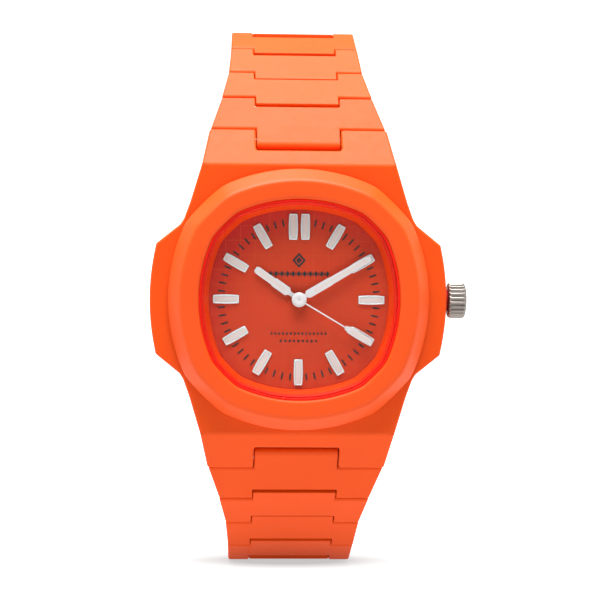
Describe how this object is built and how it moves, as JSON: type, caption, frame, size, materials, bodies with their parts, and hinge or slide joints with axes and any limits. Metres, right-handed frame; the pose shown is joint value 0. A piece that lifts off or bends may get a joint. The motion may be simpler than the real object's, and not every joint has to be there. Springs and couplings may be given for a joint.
{
  "type": "analogue wristwatch",
  "caption": "Three-hand quartz wristwatch: bowed octagonal bezel, eared case, pull-out crown and an integrated tapering link bracelet closed by a folding clasp.",
  "frame": {"origin": "centre of the case back's outer flat face", "axes": "+Y out of the case back towards the wrist (the dial faces -Y), +Z towards 12 o'clock, +X towards the crown"},
  "size_m": [0.0448, 0.048, 0.0802],
  "materials": {
    "orange_plastic": "soft-touch matte",
    "flange_plastic": "satin",
    "crystal_glass": "polished",
    "seal_rubber": "matte",
    "dial_paint": "satin paint",
    "marker_metal": "polished frames with pale inlay",
    "holder_plastic": "moulded",
    "movement_metal": "satin",
    "movement_brass": "satin",
    "board_green": "gloss",
    "coil_copper": "enamelled wire",
    "steel_polished": "polished",
    "steel_brushed": "brushed",
    "crown_steel": "satin with bright flutes",
    "gasket_black": "matte",
    "gasket_red": "matte",
    "hand_white": "satin white"
  },
  "bodies": {
    "case": {"case_middle": "orange_plastic", "bezel": "orange_plastic", "crystal": "crystal_glass", "crystal_gasket": "seal_rubber", "flange_ring": "flange_plastic", "dial": "dial_paint", "hour_markers": "marker_metal", "movement_holder": "holder_plastic", "main_plate": "movement_metal", "train_bridge": "movement_brass", "circuit_board": "board_green", "coil": "coil_copper", "stator": "movement_metal", "battery": "steel_polished", "battery_clamp": "movement_brass", "movement_screws": "steel_polished", "crown_tube": "movement_brass", "case_back": "steel_brushed", "case_back_gasket": "gasket_black", "case_back_screws": "steel_polished", "lug_spring_bars": "steel_polished"},
    "crown_slide": {"crown_gasket": "gasket_red"},
    "crown_unit": {"crown": "crown_steel", "stem": "steel_polished"},
    "clutch": {"sliding_pinion": "steel_polished"},
    "lever": {"setting_lever": "steel_polished"},
    "rotor_unit": {"rotor": "movement_metal"},
    "intermediate": {"intermediate_wheel": "movement_brass"},
    "seconds": {"second_wheel": "movement_brass", "second_hand": "hand_white"},
    "third": {"third_wheel": "movement_brass"},
    "centre": {"center_wheel": "movement_brass"},
    "minutes": {"cannon_pinion": "movement_brass", "minute_hand": "hand_white"},
    "minute_gear": {"minute_wheel": "movement_brass"},
    "hours": {"hour_wheel": "movement_brass", "hour_hand": "hand_white"},
    "band_upper_1": {"upper_link_1": "orange_plastic"},
    "band_upper_2": {"upper_link_2": "orange_plastic"},
    "band_upper_3": {"upper_link_3": "orange_plastic"},
    "band_upper_4": {"upper_link_4": "orange_plastic"},
    "band_upper_5": {"upper_link_5": "orange_plastic"},
    "band_upper_6": {"upper_link_6": "orange_plastic"},
    "band_upper_7": {"upper_link_7": "orange_plastic"},
    "band_upper_8": {"upper_link_8": "orange_plastic"},
    "band_upper_9": {"upper_link_9": "orange_plastic"},
    "band_lower_1": {"lower_link_1": "orange_plastic"},
    "band_lower_2": {"lower_link_2": "orange_plastic"},
    "band_lower_3": {"lower_link_3": "orange_plastic"},
    "band_lower_4": {"lower_link_4": "orange_plastic"},
    "band_lower_5": {"lower_link_5": "orange_plastic"},
    "band_lower_6": {"lower_link_6": "orange_plastic"},
    "band_lower_7": {"lower_link_7": "orange_plastic"},
    "band_lower_8": {"lower_link_8": "orange_plastic"},
    "band_lower_9": {"lower_link_9": "orange_plastic"},
    "inner_fold": {"inner_blade": "steel_brushed"},
    "outer_fold": {"outer_blade": "steel_brushed"},
    "cover": {"clasp_cover": "steel_brushed"},
    "push_left": {"button_left": "steel_polished"},
    "push_right": {"button_right": "steel_polished"}
  },
  "joints": [
    {"name": "second_hand_spin", "type": "hinge", "parent": "case", "child": "seconds", "pos_m": [0, -0.0023, 0], "axis": [0, 1, 0], "continuous": true},
    {"name": "intermediate_spin", "type": "hinge", "parent": "case", "child": "intermediate", "pos_m": [-0.00105, -0.0027, -0.00182], "axis": [0, 1, 0], "continuous": true},
    {"name": "rotor_spin", "type": "hinge", "parent": "case", "child": "rotor_unit", "pos_m": [-0.00195, -0.003, -0.00338], "axis": [0, 1, 0], "continuous": true},
    {"name": "third_wheel_spin", "type": "hinge", "parent": "case", "child": "third", "pos_m": [0.00294, -0.0031, -0.0017], "axis": [0, 1, 0], "continuous": true},
    {"name": "center_wheel_spin", "type": "hinge", "parent": "case", "child": "centre", "pos_m": [0, -0.0034, 0], "axis": [0, 1, 0], "continuous": true},
    {"name": "minute_hand_spin", "type": "hinge", "parent": "case", "child": "minutes", "pos_m": [0, -0.005, 0], "axis": [0, 1, 0], "continuous": true},
    {"name": "minute_wheel_spin", "type": "hinge", "parent": "case", "child": "minute_gear", "pos_m": [0.00208, -0.005, 0.0012], "axis": [0, 1, 0], "continuous": true},
    {"name": "hour_hand_spin", "type": "hinge", "parent": "case", "child": "hours", "pos_m": [0, -0.0053, 0], "axis": [0, 1, 0], "continuous": true},
    {"name": "crown_pull", "type": "slide", "parent": "case", "child": "crown_slide", "axis": [1, 0, 0], "range_m": [0, 0.0009]},
    {"name": "crown_spin", "type": "hinge", "parent": "crown_slide", "child": "crown_unit", "pos_m": [0.021, -0.0033, 0], "axis": [1, 0, 0], "continuous": true},
    {"name": "clutch_slide", "type": "slide", "parent": "crown_unit", "child": "clutch", "axis": [1, 0, 0], "range_m": [-0.0015, 0]},
    {"name": "lever_swing", "type": "hinge", "parent": "case", "child": "lever", "pos_m": [0.00955, -0.0039, 0.0024], "axis": [0, -1, 0], "range_deg": [0, 21.3]},
    {"name": "upper_hinge_1", "type": "hinge", "parent": "case", "child": "band_upper_1", "pos_m": [0, -0.001, 0.02246], "axis": [1, 0, 0], "range_deg": [0, 4]},
    {"name": "upper_hinge_2", "type": "hinge", "parent": "band_upper_1", "child": "band_upper_2", "pos_m": [0, 0.00256, 0.02729], "axis": [1, 0, 0], "range_deg": [0, 14.7]},
    {"name": "upper_hinge_3", "type": "hinge", "parent": "band_upper_2", "child": "band_upper_3", "pos_m": [0, 0.0071, 0.03122], "axis": [1, 0, 0], "range_deg": [0, 2.3]},
    {"name": "upper_hinge_4", "type": "hinge", "parent": "band_upper_3", "child": "band_upper_4", "pos_m": [0, 0.01165, 0.03512], "axis": [1, 0, 0], "range_deg": [0, 13.9]},
    {"name": "upper_hinge_5", "type": "hinge", "parent": "band_upper_4", "child": "band_upper_5", "pos_m": [0, 0.01691, 0.038], "axis": [1, 0, 0], "range_deg": [0, 26.7]},
    {"name": "upper_hinge_6", "type": "hinge", "parent": "band_upper_5", "child": "band_upper_6", "pos_m": [0, 0.0229, 0.03842], "axis": [1, 0, 0], "range_deg": [0, 28]},
    {"name": "upper_hinge_7", "type": "hinge", "parent": "band_upper_6", "child": "band_upper_7", "pos_m": [0, 0.02846, 0.03617], "axis": [1, 0, 0], "range_deg": [0, 27]},
    {"name": "upper_hinge_8", "type": "hinge", "parent": "band_upper_7", "child": "band_upper_8", "pos_m": [0, 0.03255, 0.03179], "axis": [1, 0, 0], "range_deg": [0, 22]},
    {"name": "upper_hinge_9", "type": "hinge", "parent": "band_upper_8", "child": "band_upper_9", "pos_m": [0, 0.0349, 0.02626], "axis": [1, 0, 0], "range_deg": [0, 15]},
    {"name": "lower_hinge_1", "type": "hinge", "parent": "case", "child": "band_lower_1", "pos_m": [0, -0.001, -0.02246], "axis": [-1, 0, 0], "range_deg": [0, 4]},
    {"name": "lower_hinge_2", "type": "hinge", "parent": "band_lower_1", "child": "band_lower_2", "pos_m": [0, 0.00256, -0.02729], "axis": [-1, 0, 0], "range_deg": [0, 14.7]},
    {"name": "lower_hinge_3", "type": "hinge", "parent": "band_lower_2", "child": "band_lower_3", "pos_m": [0, 0.0071, -0.03122], "axis": [-1, 0, 0], "range_deg": [0, 2.3]},
    {"name": "lower_hinge_4", "type": "hinge", "parent": "band_lower_3", "child": "band_lower_4", "pos_m": [0, 0.01165, -0.03512], "axis": [-1, 0, 0], "range_deg": [0, 13.9]},
    {"name": "lower_hinge_5", "type": "hinge", "parent": "band_lower_4", "child": "band_lower_5", "pos_m": [0, 0.01691, -0.038], "axis": [-1, 0, 0], "range_deg": [0, 26.7]},
    {"name": "lower_hinge_6", "type": "hinge", "parent": "band_lower_5", "child": "band_lower_6", "pos_m": [0, 0.0229, -0.03842], "axis": [-1, 0, 0], "range_deg": [0, 28]},
    {"name": "lower_hinge_7", "type": "hinge", "parent": "band_lower_6", "child": "band_lower_7", "pos_m": [0, 0.02846, -0.03617], "axis": [-1, 0, 0], "range_deg": [0, 27]},
    {"name": "lower_hinge_8", "type": "hinge", "parent": "band_lower_7", "child": "band_lower_8", "pos_m": [0, 0.03255, -0.03179], "axis": [-1, 0, 0], "range_deg": [0, 22]},
    {"name": "lower_hinge_9", "type": "hinge", "parent": "band_lower_8", "child": "band_lower_9", "pos_m": [0, 0.0349, -0.02626], "axis": [-1, 0, 0], "range_deg": [0, 15]},
    {"name": "clasp_open", "type": "hinge", "parent": "band_lower_9", "child": "inner_fold", "pos_m": [0, 0.03594, -0.02035], "axis": [-1, 0, 0], "range_deg": [0, 60]},
    {"name": "blade_unfold", "type": "hinge", "parent": "inner_fold", "child": "outer_fold", "pos_m": [0, 0.0357, 0.0135], "axis": [1, 0, 0], "range_deg": [0, 170]},
    {"name": "cover_unfold", "type": "hinge", "parent": "outer_fold", "child": "cover", "pos_m": [0, 0.0362, -0.0135], "axis": [-1, 0, 0], "range_deg": [0, 170]},
    {"name": "button_left_push", "type": "slide", "parent": "cover", "child": "push_left", "axis": [1, 0, 0], "range_m": [0, 0.0006], "stiffness_N_per_m": 400, "springref_m": -0.0005},
    {"name": "button_right_push", "type": "slide", "parent": "cover", "child": "push_right", "axis": [-1, 0, 0], "range_m": [0, 0.0006], "stiffness_N_per_m": 400, "springref_m": -0.0005}
  ],
  "couplings": [
    {"joint": "intermediate_spin", "follows": "second_hand_spin", "ratio": -6},
    {"joint": "rotor_spin", "follows": "second_hand_spin", "ratio": 30},
    {"joint": "third_wheel_spin", "follows": "second_hand_spin", "ratio": -0.13333},
    {"joint": "center_wheel_spin", "follows": "second_hand_spin", "ratio": 0.016667},
    {"joint": "minute_wheel_spin", "follows": "minute_hand_spin", "ratio": -0.33333},
    {"joint": "hour_hand_spin", "follows": "minute_hand_spin", "ratio": 0.083333},
    {"joint": "clutch_slide", "follows": "crown_pull", "ratio": -1.6667},
    {"joint": "lever_swing", "follows": "crown_pull", "rad_per_m": 411.12},
    {"joint": "blade_unfold", "follows": "clasp_open", "ratio": 2.8333},
    {"joint": "cover_unfold", "follows": "clasp_open", "ratio": 2.8333}
  ]
}
